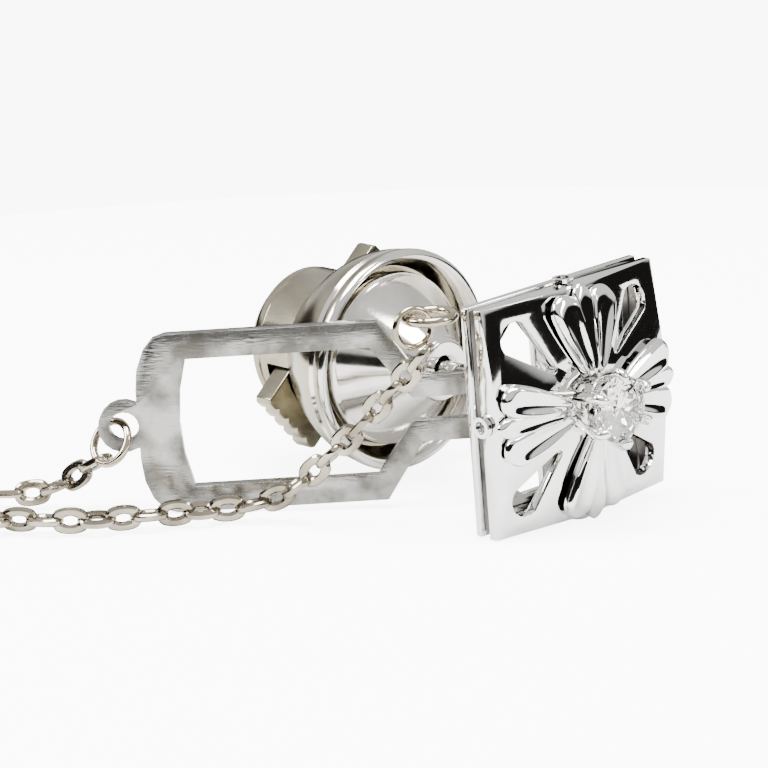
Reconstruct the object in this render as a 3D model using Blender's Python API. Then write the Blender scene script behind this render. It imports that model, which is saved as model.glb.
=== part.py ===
"""Tie tack: a square openwork ornament on a post, a spring clutch, and a chain to a button plate.

The post runs along X. The ornament faces +X and the clutch sits behind it on the post.
Everything lies on the plane Z = 0, the way the tack is put down on a table.
Sizes are in metres.
"""
import math

import bmesh
import bpy
from mathutils import Matrix, Vector

MM = 0.001

# Frame: where the post's axis and the clutch's rim lie from the origin, which is
# under the middle of the tack (without its chain).
RIM_X = -3.92 * MM
AXIS_Y = 4.77 * MM
AXIS_Z = 6.40 * MM
SIDES = 28
GAP = 0.05 * MM

# Ornament
HEAD_SIDE = 12.0 * MM
HEAD_X = 12.7 * MM
HEAD_DEPTH = 1.5 * MM
HEAD_TURN = 3.3
PLATE_T = 0.50 * MM
DOME_RISE = 1.6 * MM
FRAME_W = 0.60 * MM
WALL_T = 0.40 * MM
BACK_T = 0.40 * MM
BACK_OPENING = 7.0 * MM
TEAR_LONG = 3.9 * MM
TEAR_WIDE = 0.95 * MM
TEAR_POINT = 0.22 * MM
TEAR_CENTRE = 3.45 * MM
PETAL_INNER = 1.75 * MM
PETAL_INNER_W = 1.7 * MM
PETAL_OUTER_W = 4.5 * MM
PETAL_PROUD = 0.85 * MM
PETAL_PAST = 0.30 * MM
TUBE_R = 0.55 * MM
TUBE_BORE = 0.34 * MM
TUBE_LONG = 0.30 * MM
TUBE_DROP = -0.25 * MM

# Stone and its crown
STONE_D = 3.5 * MM
STONE_TABLE = 0.56
STONE_CROWN = 0.55 * MM
STONE_PAVILION = 1.35 * MM
STONE_RISE = 3.3 * MM
CROWN_WALL = 0.35 * MM
PRONGS = 6
PRONG_R = 0.24 * MM

# Post
POST_D = 1.0 * MM
POST_LONG = 13.6 * MM
POST_POINT = 1.6 * MM
FOOT_D = 3.0 * MM
FOOT_T = 0.35 * MM
CENTRE_PAD_D = 4.0 * MM

# Clutch
RIM_R = 5.95 * MM
RIM_BAND = 0.9 * MM
DISH_R = 5.35 * MM
DISH_DEEP = 1.7 * MM
DRUM_R = 4.0 * MM
DRUM_LONG = 3.3 * MM
BELL_LONG = 4.1 * MM
SHELL_WALL = 0.35 * MM
NOSE_LONG = 3.1 * MM
NOSE_TIP_R = 1.75 * MM
NOSE_BASE_R = 4.7 * MM
BORE_R = 0.62 * MM
CAP_T = 0.5 * MM
CAP_PLUG = 0.35 * MM
EAR_REACH = 5.4 * MM
EAR_LONG = 1.2 * MM
EAR_WIDE = 4.4 * MM
EAR_TURN = 43.0
EAR_X = -5.6 * MM
RIDGES = 5
RELEASE_TRAVEL = 0.6 * MM
CAGE_R = 1.6 * MM
CAGE_LONG = 1.5 * MM
BALL_R = 0.42 * MM
BALLS = 3
SPRING_R = 2.05 * MM
SPRING_WIRE = 0.09 * MM
SPRING_TURNS = 1.6

# Button plate: its plane stands upright, turned from X, and it leans on one corner
PLATE_TURN = 47.0
PLATE_LEAN = 2.0
BUTTON_T = 0.75 * MM
BUTTON_LONG = 12.7 * MM
BUTTON_HIGH = 9.5 * MM
BUTTON_CORNER = 1.7 * MM
BUTTON_CORNER_HIGH = 2.9 * MM
NECK_LONG = 3.4 * MM
NECK_HIGH = 3.5 * MM
SHOULDER = 2.0 * MM
END_W = 0.9 * MM
WINDOW_BOW = 0.55 * MM
SIDE_W = 2.7 * MM
ARM_W = 1.35 * MM
SLOT_HIGH = 1.25 * MM
EAR_R = 1.35 * MM
EAR_HOLE_R = 0.78 * MM
EAR_OUT = 0.75 * MM
BUTTON_NEAR = 5.7 * MM
BUTTON_START = -13.7 * MM

# Rings and chain
BAIL_R = 1.19 * MM
BAIL_WIRE = 0.26 * MM
RING_R = 0.98 * MM
RING_WIRE = 0.17 * MM
PLATE_RING_R = 1.17 * MM
PLATE_RING_WIRE = 0.21 * MM
PLATE_RING_HANG = 48.0
PLATE_RING_TILT = 50.0
UPPER_RING_SIDE = 25.0
UPPER_RING_DROP = 0.42 * MM
UPPER_RING_IN = 0.24 * MM
CHAIN_D = 1.5 * MM
CHAIN_STEP = 3.2 * MM
CHAIN_ROUTE = [
    (6.20, -3.28, 9.63), (5.30, -3.51, 8.60), (4.20, -3.59, 7.50), (2.90, -3.89, 6.27),
    (1.60, -4.29, 4.88), (0.20, -4.69, 3.54), (-1.20, -5.19, 2.25), (-2.60, -5.89, 1.29),
    (-3.70, -6.79, 0.85), (-4.70, -8.19, 0.80), (-6.00, -10.49, 0.80), (-7.30, -12.79, 0.80),
    (-9.00, -14.79, 0.80), (-11.10, -16.29, 0.80), (-12.90, -18.89, 0.80), (-14.50, -21.49, 0.80),
    (-16.90, -23.49, 0.80), (-19.80, -23.29, 0.80), (-21.40, -21.29, 0.80), (-20.80, -18.49, 0.80),
    (-18.70, -16.19, 0.80), (-16.50, -14.59, 0.80), (-14.70, -13.09, 0.85), (-13.80, -12.19, 1.00),
    (-12.75, -11.39, 1.52), (-11.85, -10.99, 2.20), (-11.15, -10.64, 2.65),
]


def clear_scene():
    for old in list(bpy.data.objects):
        bpy.data.objects.remove(old, do_unlink=True)


def finish(name, mesh_builder, place, colour, rough=0.2, metal=1.0, smooth=True):
    """Turn a bmesh into a named object with its own material, placed by a matrix."""
    bmesh.ops.remove_doubles(mesh_builder, verts=mesh_builder.verts, dist=1e-7)
    bmesh.ops.recalc_face_normals(mesh_builder, faces=mesh_builder.faces)
    mesh = bpy.data.meshes.new(name)
    mesh_builder.to_mesh(mesh)
    mesh_builder.free()
    if smooth:
        mesh.shade_smooth()
        mesh.set_sharp_from_angle(angle=math.radians(35))
    piece = bpy.data.objects.new(name, mesh)
    bpy.context.scene.collection.objects.link(piece)
    piece.matrix_world = place
    material = bpy.data.materials.new(name)
    material.use_nodes = True
    shader = material.node_tree.nodes["Principled BSDF"]
    shader.inputs["Base Color"].default_value = (*colour, 1.0)
    shader.inputs["Roughness"].default_value = rough
    shader.inputs["Metallic"].default_value = metal
    mesh.materials.append(material)
    return piece


def turned(profile, sides=SIDES):
    """A closed solid turned about X from (x, radius) points; on-axis ends close it."""
    bm = bmesh.new()
    rows = []
    for x, radius in profile:
        if radius < 1e-9:
            rows.append([bm.verts.new((x, 0, 0))])
            continue
        row = []
        for i in range(sides):
            a = math.tau * i / sides
            row.append(bm.verts.new((x, radius * math.cos(a), radius * math.sin(a))))
        rows.append(row)
    closed = len(rows[0]) > 1
    pairs = list(zip(rows, rows[1:]))
    if closed:
        pairs.append((rows[-1], rows[0]))
    for near, far in pairs:
        for i in range(sides):
            j = (i + 1) % sides
            if len(near) == 1:
                bm.faces.new((near[0], far[j], far[i]))
            elif len(far) == 1:
                bm.faces.new((near[i], near[j], far[0]))
            else:
                bm.faces.new((near[i], near[j], far[j], far[i]))
    return bm


def ring(radius, wire, sides=24, wire_sides=8):
    """A closed wire ring about Z."""
    bm = bmesh.new()
    rows = []
    for i in range(sides):
        a = math.tau * i / sides
        row = []
        for j in range(wire_sides):
            b = math.tau * j / wire_sides
            reach = radius + wire * math.cos(b)
            row.append(bm.verts.new((reach * math.cos(a), reach * math.sin(a), wire * math.sin(b))))
        rows.append(row)
    for i in range(sides):
        near, far = rows[i], rows[(i + 1) % sides]
        for j in range(wire_sides):
            k = (j + 1) % wire_sides
            bm.faces.new((near[j], far[j], far[k], near[k]))
    return bm


def lofted(sections):
    """A closed solid through rings of points with the same count."""
    bm = bmesh.new()
    rows = [[bm.verts.new(point) for point in section] for section in sections]
    count = len(rows[0])
    for near, far in zip(rows, rows[1:]):
        for i in range(count):
            j = (i + 1) % count
            bm.faces.new((near[i], near[j], far[j], far[i]))
    bm.faces.new(list(reversed(rows[0])))
    bm.faces.new(rows[-1])
    return bm


def prism(outline, low, high):
    """An outline of (y, z) points pushed along X from low to high."""
    return lofted([[(x, y, z) for y, z in outline] for x in (low, high)])


def box(low, high):
    outline = [(low[1], low[2]), (high[1], low[2]), (high[1], high[2]), (low[1], high[2])]
    return prism(outline, low[0], high[0])


def merge(target, extra, turn=None):
    """Add a bmesh's solid to another, turned by a matrix."""
    mesh = bpy.data.meshes.new("extra")
    if turn is not None:
        bmesh.ops.transform(extra, matrix=turn, verts=extra.verts)
    extra.to_mesh(mesh)
    extra.free()
    target.from_mesh(mesh)
    bpy.data.meshes.remove(mesh)
    return target


def cut(piece, cutter_mesh, operation="DIFFERENCE"):
    """Cut or join with a hidden helper object at the piece's own place."""
    mesh = bpy.data.meshes.new(piece.name + "_cutter")
    bmesh.ops.recalc_face_normals(cutter_mesh, faces=cutter_mesh.faces)
    cutter_mesh.to_mesh(mesh)
    cutter_mesh.free()
    cutter = bpy.data.objects.new(piece.name + "_cutter", mesh)
    bpy.context.scene.collection.objects.link(cutter)
    cutter.matrix_world = piece.matrix_world
    cutter.hide_render = True
    cutter.display_type = "WIRE"
    modifier = piece.modifiers.new("cut", "BOOLEAN")
    modifier.operation = operation
    modifier.solver = "EXACT"
    modifier.object = cutter
    return piece


def arc(cy, cz, radius, start, end, steps):
    points = []
    for i in range(steps + 1):
        a = math.radians(start + (end - start) * i / steps)
        points.append((cy + radius * math.cos(a), cz + radius * math.sin(a)))
    return points


# ---------------------------------------------------------------- places

AXIS = Matrix.Translation((RIM_X, AXIS_Y, AXIS_Z))
HEAD = (Matrix.Translation((RIM_X + HEAD_X, AXIS_Y, AXIS_Z))
        @ Matrix.Rotation(math.radians(HEAD_TURN), 4, "X"))


def quarter(turns):
    return Matrix.Rotation(math.radians(90 * turns), 4, "X")


# ---------------------------------------------------------------- ornament

def domed_block(half, rise, bottom):
    """A square block whose four corner panels slope up to the middle."""
    bm = bmesh.new()
    grid = {}
    for i in (-1, 0, 1):
        for j in (-1, 0, 1):
            height = rise * (1 - (abs(i) + abs(j)) / 2)
            grid[i, j] = bm.verts.new((height, i * half, j * half))
    edge = [(-1, -1), (0, -1), (1, -1), (1, 0), (1, 1), (0, 1), (-1, 1), (-1, 0)]
    base = [bm.verts.new((bottom, i * half, j * half)) for i, j in edge]
    for i, j in ((-1, -1), (0, -1), (-1, 0), (0, 0)):
        bm.faces.new((grid[i, j], grid[i + 1, j], grid[i + 1, j + 1], grid[i, j + 1]))
    for k in range(8):
        m = (k + 1) % 8
        bm.faces.new((base[k], base[m], grid[edge[m]], grid[edge[k]]))
    bm.faces.new(list(reversed(base)))
    return bm


def teardrop():
    """A drop along +Y: its point at the low end, its round end at the high end."""
    half = TEAR_LONG / 2
    round_end = arc(half - TEAR_WIDE, 0, TEAR_WIDE, -80, 80, 8)
    return round_end + arc(-half + TEAR_POINT, 0, TEAR_POINT, 100, 260, 4)


def front_plate():
    half = HEAD_SIDE / 2
    piece = finish("front_plate", domed_block(half, DOME_RISE, -PLATE_T), HEAD,
                   (0.86, 0.86, 0.87), 0.06, smooth=False)
    cut(piece, domed_block(half - FRAME_W, DOME_RISE, -3 * PLATE_T - GAP))
    piece.modifiers[-1].object.matrix_world = HEAD @ Matrix.Translation((-PLATE_T, 0, 0))
    holes = bmesh.new()
    for k in range(4):
        drop = prism(teardrop(), -3 * MM, 3 * MM)
        slide = Matrix.Translation((0, TEAR_CENTRE * math.sqrt(2), 0))
        turn = Matrix.Rotation(math.radians(45 + 90 * k), 4, "X")
        merge(holes, drop, turn @ slide)
    cut(piece, holes)
    cut(piece, turned([(-3 * MM, 0), (-3 * MM, CENTRE_PAD_D / 2 - 0.5 * MM),
                       (5 * MM, CENTRE_PAD_D / 2 - 0.5 * MM), (5 * MM, 0)], 20))
    return piece


def square_ring(half, inner, low, high):
    bm = bmesh.new()
    rows = []
    for size, x in ((half, low), (half, high), (inner, high), (inner, low)):
        corners = ((-1, -1), (1, -1), (1, 1), (-1, 1))
        rows.append([bm.verts.new((x, i * size, j * size)) for i, j in corners])
    for a in range(4):
        near, far = rows[a], rows[(a + 1) % 4]
        for i in range(4):
            j = (i + 1) % 4
            bm.faces.new((near[i], near[j], far[j], far[i]))
    return bm


def side_wall():
    """The recessed wall between the front plate and the back plate."""
    half = HEAD_SIDE / 2 - 0.25 * MM
    low = -HEAD_DEPTH + BACK_T + GAP
    return finish("side_wall", square_ring(half, half - WALL_T, low, -PLATE_T - GAP), HEAD,
                  (0.6, 0.6, 0.6), 0.15, smooth=False)


def back_plate():
    half = HEAD_SIDE / 2
    plate = box((-HEAD_DEPTH, -half, -half), (-HEAD_DEPTH + BACK_T, half, half))
    piece = finish("back_plate", plate, HEAD, (0.82, 0.82, 0.82), 0.15, smooth=False)
    holes = bmesh.new()
    for k in range(4):
        reach = BACK_OPENING / 2
        corner = [(1.5 * MM, 1.5 * MM), (reach + 1.0 * MM, 1.5 * MM),
                  (reach + 1.0 * MM, reach - 0.5 * MM), (reach - 0.5 * MM, reach + 1.0 * MM),
                  (1.5 * MM, reach + 1.0 * MM)]
        merge(holes, prism(corner, -3 * MM, 3 * MM), quarter(k))
    cut(piece, holes)
    return piece


def dome_height(y, z):
    return DOME_RISE * (1 - (abs(y) + abs(z)) / HEAD_SIDE)


def petal_group(name, turns):
    """Three fluted lobes, narrow at the stone and wide and round at the side."""
    sections = []
    outer = HEAD_SIDE / 2 + PETAL_PAST
    steps = 9
    across = 18
    for s in range(steps + 1):
        t = s / steps
        y = PETAL_INNER + (outer - PETAL_INNER) * t
        swell = math.sin(math.pi * min(1.0, 0.12 + 0.88 * t) * 0.62)
        width = (PETAL_INNER_W + (PETAL_OUTER_W - PETAL_INNER_W) * swell) / 2
        proud = PETAL_PROUD * (0.55 + 0.45 * math.sin(math.pi * (0.1 + 0.8 * t)))
        if s == steps:
            width *= 0.86
            proud *= 0.45
        middle = dome_height(min(y, HEAD_SIDE / 2), 0)
        points = []
        for i in range(across + 1):
            v = -1 + 2 * i / across
            flute = abs(math.sin(1.5 * math.pi * (v + 1)))
            round_off = math.sqrt(max(0.0, 1 - 0.75 * v * v))
            points.append((middle + GAP + proud * (0.35 + 0.65 * flute) * round_off, y, v * width))
        for i in range(4, -1, -1):
            points.append((middle + GAP, y, (-1 + 2 * i / 4) * width))
        sections.append(points)
    bm = lofted(sections)
    return finish(name, bm, HEAD @ quarter(turns), (0.9, 0.9, 0.9), 0.05)


def side_tube(name, turns):
    """A short open tube at the middle of a side, under the middle lobe."""
    start = HEAD_SIDE / 2 + GAP
    tube = turned([(start, TUBE_BORE), (start + TUBE_LONG, TUBE_BORE),
                   (start + TUBE_LONG, TUBE_R), (start, TUBE_R)], 16)
    aim = Matrix.Translation((TUBE_DROP, 0, 0)) @ Matrix.Rotation(math.radians(90), 4, "Z")
    bmesh.ops.transform(tube, matrix=aim, verts=tube.verts)
    return finish(name, tube, HEAD @ quarter(turns), (0.85, 0.85, 0.85), 0.1)


def crown_setting():
    """A turned cup with scalloped wall that carries the stone."""
    girdle = STONE_D / 2
    low = PLATE_T
    top = STONE_RISE - 0.15 * MM
    outer = [(low, 0.9 * MM), (low + 0.9 * MM, 1.1 * MM), (top - 0.5 * MM, girdle - 0.05 * MM),
             (top, girdle + 0.12 * MM)]
    inner = [(top, girdle - CROWN_WALL + 0.12 * MM), (top - 0.9 * MM, girdle - 0.8 * MM),
             (low + 0.4 * MM, 0.45 * MM), (low, 0.45 * MM)]
    piece = finish("crown_setting", turned(outer + inner, 24), HEAD, (0.85, 0.85, 0.85), 0.08)
    reach = STONE_D / 2 + PRONG_R + 0.1 * MM
    foot = STONE_RISE - 1.0 * MM
    tip = STONE_RISE + 0.55 * MM
    for k in range(PRONGS):
        prong = turned([(foot, 0), (foot, PRONG_R), (tip - PRONG_R, PRONG_R),
                        (tip - 0.3 * PRONG_R, 0.75 * PRONG_R), (tip, 0)], 8)
        turn = Matrix.Rotation(math.radians(360 * k / PRONGS + 30), 4, "X")
        bmesh.ops.transform(prong, matrix=turn @ Matrix.Translation((0, reach, 0)), verts=prong.verts)
        cut(piece, prong, "UNION")
    return piece


def diamond():
    girdle = STONE_D / 2
    inner = girdle - CROWN_WALL - 0.02 * MM
    profile = [(STONE_RISE - STONE_PAVILION, 0), (STONE_RISE - 0.1 * MM + GAP, inner),
               (STONE_RISE + GAP, girdle), (STONE_RISE + 0.08 * MM + GAP, girdle),
               (STONE_RISE + STONE_CROWN, girdle * STONE_TABLE), (STONE_RISE + STONE_CROWN, 0)]
    return finish("diamond", turned(profile, 16), HEAD, (0.95, 0.95, 0.9), 0.0, 0.0, smooth=False)


def post():
    """The pin: a plain rod with grip grooves and a point, from the ornament's back."""
    start = -HEAD_DEPTH - FOOT_T - GAP
    tip = start - POST_LONG
    radius = POST_D / 2
    groove = radius - 0.08 * MM
    profile = [(tip, 0), (tip + POST_POINT, radius)]
    for k in range(3):
        x = tip + POST_POINT + (0.6 + 1.1 * k) * MM
        profile += [(x, radius), (x + 0.15 * MM, groove), (x + 0.35 * MM, groove),
                    (x + 0.5 * MM, radius)]
    profile += [(start, radius), (start, 0)]
    return finish("post", turned(profile, 16), HEAD, (0.8, 0.8, 0.8), 0.15)


def post_foot():
    """The disc that joins the post to the back plate."""
    x = -HEAD_DEPTH - GAP
    profile = [(x - FOOT_T + GAP, 0), (x - FOOT_T + GAP, FOOT_D / 2 - 0.2 * MM),
               (x, FOOT_D / 2), (x, 0)]
    return finish("post_foot", turned(profile, 24), HEAD, (0.8, 0.8, 0.8), 0.15)


# ---------------------------------------------------------------- clutch

def clutch_shell():
    """The drum that flares into a bell with a rolled rim, open at both ends."""
    back = -DRUM_LONG - BELL_LONG - RIM_BAND
    flare = back + DRUM_LONG
    outer = [(back + 0.25 * MM, DRUM_R - 0.15 * MM), (back + 0.5 * MM, DRUM_R), (flare, DRUM_R)]
    for t in (0.15, 0.35, 0.6, 0.8):
        swell = (RIM_R - 0.1 * MM - DRUM_R) * math.sin(t * math.pi / 2)
        outer.append((flare + t * BELL_LONG, DRUM_R + swell))
    outer += [(-RIM_BAND, RIM_R - 0.1 * MM), (-0.6 * RIM_BAND, RIM_R),
             (-0.25 * RIM_BAND, RIM_R), (0, RIM_R - 0.2 * MM)]
    inner = [(0, DISH_R + 0.1 * MM), (-0.2 * RIM_BAND, DISH_R), (-DISH_DEEP, DISH_R - 0.5 * MM),
             (-DISH_DEEP - 0.1 * MM, DRUM_R - SHELL_WALL),
             (back + 0.25 * MM, DRUM_R - SHELL_WALL)]
    piece = finish("clutch_shell", turned(outer + inner, 40), AXIS, (0.6, 0.58, 0.52), 0.25)
    slots = bmesh.new()
    for k in range(2):
        half = EAR_WIDE / 2 + 0.2 * MM
        long = EAR_LONG / 2 + RELEASE_TRAVEL
        slot = box((EAR_X - long, 2.0 * MM, -half), (EAR_X + EAR_LONG / 2 + 0.15 * MM, 7 * MM, half))
        merge(slots, slot, Matrix.Rotation(math.radians(EAR_TURN + 180 * k), 4, "X"))
    cut(piece, slots)
    return piece


def nose_cone():
    """The polished nose: a trumpet-shaped cone with the post's bore, inside the bell."""
    base = -DISH_DEEP + 0.05 * MM
    profile = [(base, BORE_R), (base, NOSE_BASE_R - 0.25 * MM), (base + 0.5 * MM, NOSE_BASE_R),
               (base + 0.9 * MM, NOSE_BASE_R - 0.1 * MM)]
    steps = 6
    for s in range(steps + 1):
        t = s / steps
        x = base + 1.0 * MM + (NOSE_LONG - base - 1.2 * MM) * t
        radius = NOSE_TIP_R + (NOSE_BASE_R - 0.25 * MM - NOSE_TIP_R) * (1 - t) ** 1.25
        profile.append((x, radius))
    profile += [(NOSE_LONG, NOSE_TIP_R - 0.2 * MM), (NOSE_LONG, BORE_R + 0.15 * MM),
                (NOSE_LONG - 0.25 * MM, BORE_R)]
    return finish("nose_cone", turned(profile, 40), AXIS, (0.9, 0.9, 0.9), 0.12)


def drum_back():
    return -DRUM_LONG - BELL_LONG - RIM_BAND


def back_cap():
    """The slightly domed cap behind the drum."""
    x = drum_back()
    seat = DRUM_R - SHELL_WALL - GAP
    profile = [(x - CAP_T + 0.1 * MM, 0), (x - CAP_T + 0.15 * MM, 2.2 * MM),
               (x - 0.2 * MM, DRUM_R - 0.5 * MM), (x + 0.15 * MM, DRUM_R - 0.25 * MM),
               (x + 0.2 * MM, DRUM_R - 0.3 * MM), (x + 0.2 * MM, seat),
               (x + CAP_PLUG, seat), (x + CAP_PLUG, 0)]
    return finish("back_cap", turned(profile, 32), AXIS, (0.62, 0.6, 0.55), 0.25)


def chuck_sleeve():
    """The tapered sleeve that pinches the balls onto the post."""
    front = -DISH_DEEP - 0.1 * MM
    profile = [(front, CAGE_R + 0.15 * MM), (front, DRUM_R - SHELL_WALL - 0.45 * MM),
               (front - 0.4 * MM, DRUM_R - SHELL_WALL - 0.45 * MM), (front - 0.4 * MM, 2.3 * MM),
               (front - 1.9 * MM, 2.3 * MM), (front - 1.9 * MM, CAGE_R + 0.4 * MM)]
    return finish("chuck_sleeve", turned(profile, 24), AXIS, (0.7, 0.7, 0.7), 0.3)


def lock_spring():
    """The coil spring behind the release ring."""
    coil_turns = SPRING_TURNS
    low = drum_back() + CAP_PLUG + SPRING_WIRE + GAP
    high = EAR_X - EAR_LONG / 2 - RELEASE_TRAVEL - SPRING_WIRE - 0.1 * MM
    steps = 14
    sections = []
    for i in range(int(coil_turns * steps) + 1):
        t = i / (coil_turns * steps)
        a = math.tau * coil_turns * t
        middle = Vector((low + (high - low) * t, SPRING_R * math.cos(a), SPRING_R * math.sin(a)))
        out = Vector((0, math.cos(a), math.sin(a)))
        points = []
        for j in range(6):
            b = math.tau * j / 6
            points.append(middle + SPRING_WIRE * (math.cos(b) * out + math.sin(b) * Vector((1, 0, 0))))
        sections.append(points)
    return finish("lock_spring", lofted(sections), AXIS, (0.55, 0.55, 0.55), 0.35)


def release_ring():
    """The ring inside the drum with two ridged ears that are squeezed and pulled back."""
    low = EAR_X - EAR_LONG / 2
    high = EAR_X + EAR_LONG / 2
    hub = turned([(low, 1.2 * MM), (low, 3.3 * MM), (high, 3.3 * MM), (high, 1.2 * MM)], 32)
    piece = finish("release_ring", hub, AXIS, (0.62, 0.6, 0.55), 0.3, smooth=False)
    for k in range(2):
        half = EAR_WIDE / 2
        outline = [(2.6 * MM, half), (2.6 * MM, -half)]
        rise = EAR_WIDE / RIDGES
        for r in range(RIDGES):
            z = -half + rise * r
            outline += [(EAR_REACH - 0.2 * MM, z), (EAR_REACH, z + 0.25 * rise),
                        (EAR_REACH, z + 0.75 * rise), (EAR_REACH - 0.2 * MM, z + rise)]
        ear = prism(outline, low, high)
        bmesh.ops.remove_doubles(ear, verts=ear.verts, dist=1e-7)
        turn = Matrix.Rotation(math.radians(EAR_TURN + 180 * k), 4, "X")
        bmesh.ops.transform(ear, matrix=turn, verts=ear.verts)
        cut(piece, ear, "UNION")
    return piece


def ball_cage():
    """The little sleeve with three pockets that holds the balls round the post."""
    front = -DISH_DEEP - 0.35 * MM
    piece = finish("ball_cage", turned([(front, BORE_R), (front, CAGE_R - 0.45 * MM),
                                        (front - CAGE_LONG, CAGE_R - 0.45 * MM),
                                        (front - CAGE_LONG, BORE_R)], 24),
                   AXIS, (0.75, 0.65, 0.4), 0.3)
    pockets = bmesh.new()
    for k in range(BALLS):
        pocket = turned([(0, 0), (0, BALL_R + 0.06 * MM), (3 * MM, BALL_R + 0.06 * MM), (3 * MM, 0)], 12)
        aim = Matrix.Rotation(math.radians(90), 4, "Z")
        place = Matrix.Translation((front - CAGE_LONG / 2, 0, 0))
        turn = Matrix.Rotation(math.tau * k / BALLS, 4, "X")
        merge(pockets, pocket, place @ turn @ aim)
    cut(piece, pockets)
    return piece


def lock_ball(number):
    ball = bmesh.new()
    bmesh.ops.create_icosphere(ball, subdivisions=2, radius=BALL_R)
    pocket_x = -DISH_DEEP - 0.35 * MM - CAGE_LONG / 2
    out = Matrix.Translation((pocket_x, POST_D / 2 + BALL_R + 0.03 * MM, 0))
    turn = Matrix.Rotation(math.tau * number / BALLS, 4, "X")
    bmesh.ops.transform(ball, matrix=turn @ out, verts=ball.verts)
    return finish("lock_ball_%d" % (number + 1), ball, AXIS, (0.8, 0.8, 0.8), 0.1)


# ---------------------------------------------------------------- button plate

def plate_place():
    """Local Y runs along the plate away from the ear and local Z is up; X points to the front."""
    turn = Matrix.Rotation(math.radians(PLATE_TURN - 90), 4, "Z")
    lean = Matrix.Rotation(math.radians(PLATE_LEAN), 4, "X")
    along = turn @ Vector((0, 1, 0))
    front = turn @ Vector((1, 0, 0))
    corner = Vector((RIM_X, AXIS_Y, 0)) + along * BUTTON_START + front * BUTTON_NEAR
    corner.z = 0.02 * MM
    return Matrix.Translation(corner) @ turn @ lean


def button_plate():
    """A keyhole-shaped loop: a wide window that narrows to a slot, with an ear for its ring."""
    corner = BUTTON_CORNER
    high = BUTTON_HIGH
    middle = high / 2
    end = BUTTON_LONG + SHOULDER + NECK_LONG
    tall = BUTTON_CORNER_HIGH / corner
    outline = [(y, tall * z) for y, z in arc(corner, corner, corner, 180, 270, 4)]
    outline += [(BUTTON_LONG, 0), (BUTTON_LONG + SHOULDER, middle - NECK_HIGH / 2),
                (end, middle - NECK_HIGH / 2), (end, middle + NECK_HIGH / 2),
                (BUTTON_LONG + SHOULDER, middle + NECK_HIGH / 2), (BUTTON_LONG, high)]
    outline += [(y, high - tall * z) for y, z in arc(corner, corner, corner, 270, 180, 4)]
    plate = prism(outline, -BUTTON_T / 2, BUTTON_T / 2)
    piece = finish("button_plate", plate, plate_place(), (0.7, 0.7, 0.7), 0.35, smooth=False)
    ear = prism(arc(-EAR_OUT, middle, EAR_R, 60, 300, 12) + [(0.6 * MM, middle - 1.2 * MM),
                                                            (0.6 * MM, middle + 1.2 * MM)],
                -BUTTON_T / 2, BUTTON_T / 2)
    cut(piece, ear, "UNION")
    hole = prism(arc(-EAR_OUT, middle, EAR_HOLE_R, 0, 337.5, 15), -2 * MM, 2 * MM)
    cut(piece, hole)
    neck = BUTTON_LONG + SHOULDER - 0.45 * MM
    half = SLOT_HIGH / 2
    window = [(SIDE_W, ARM_W), (BUTTON_LONG - 0.45 * MM, ARM_W), (neck, middle - half),
              (end - END_W, middle - half), (end - END_W, middle + half), (neck, middle + half),
              (BUTTON_LONG - 0.45 * MM, high - ARM_W), (SIDE_W, high - ARM_W)]
    for t in (0.75, 0.5, 0.25):
        bow = WINDOW_BOW * (1 - (2 * t - 1) ** 2)
        window.append((SIDE_W - bow, ARM_W + (high - 2 * ARM_W) * t))
    cut(piece, prism(window, -2 * MM, 2 * MM))
    return piece


# ---------------------------------------------------------------- rings and chain

def frame_from(centre, side, normal):
    """A place whose X is the side direction and whose Z is the normal."""
    across = normal.cross(side)
    return Matrix.Translation(centre) @ Matrix((side, across, normal)).transposed().to_4x4()


def plate_ring():
    """The jump ring through the plate's ear, hanging down and out from its hole."""
    hang = math.radians(PLATE_RING_HANG)
    tilt = math.radians(PLATE_RING_TILT)
    side = Vector((0, -math.cos(hang), -math.sin(hang)))
    normal = math.cos(tilt) * Vector((1, 0, 0)) + math.sin(tilt) * side.cross(Vector((1, 0, 0)))
    hole = Vector((0, -EAR_OUT, BUTTON_HIGH / 2))
    place = frame_from(hole + side * PLATE_RING_R, side, normal)
    return finish("plate_ring", ring(PLATE_RING_R, PLATE_RING_WIRE), plate_place() @ place,
                  (0.7, 0.68, 0.64), 0.15)


def bail_centre():
    """The bail lies beside the back plate's upper near corner, clear by the gap."""
    half = HEAD_SIDE / 2
    along = Vector((-math.cos(math.radians(PLATE_TURN)), -math.sin(math.radians(PLATE_TURN)), 0))
    corner = Vector((-HEAD_DEPTH, -half, half - BAIL_WIRE - 0.1 * MM))
    return corner + along * (BAIL_R + BAIL_WIRE + GAP)


def chain_bail():
    """The flat-lying loop soldered to the back plate's corner."""
    place = HEAD @ Matrix.Translation(bail_centre())
    return finish("chain_bail", ring(BAIL_R, BAIL_WIRE), place, (0.8, 0.8, 0.8), 0.12)


def upper_ring():
    """The jump ring that hangs in the bail and holds the chain's first link."""
    turn = math.radians(180 + PLATE_TURN + UPPER_RING_SIDE)
    out = Vector((math.cos(turn), math.sin(turn), 0))
    normal = Vector((-out.y, out.x, 0))
    centre = bail_centre() + out * (BAIL_R - UPPER_RING_IN) - Vector((0, 0, UPPER_RING_DROP))
    return finish("upper_ring", ring(RING_R, RING_WIRE), HEAD @ frame_from(centre, out, normal),
                  (0.7, 0.68, 0.64), 0.15)


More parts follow.
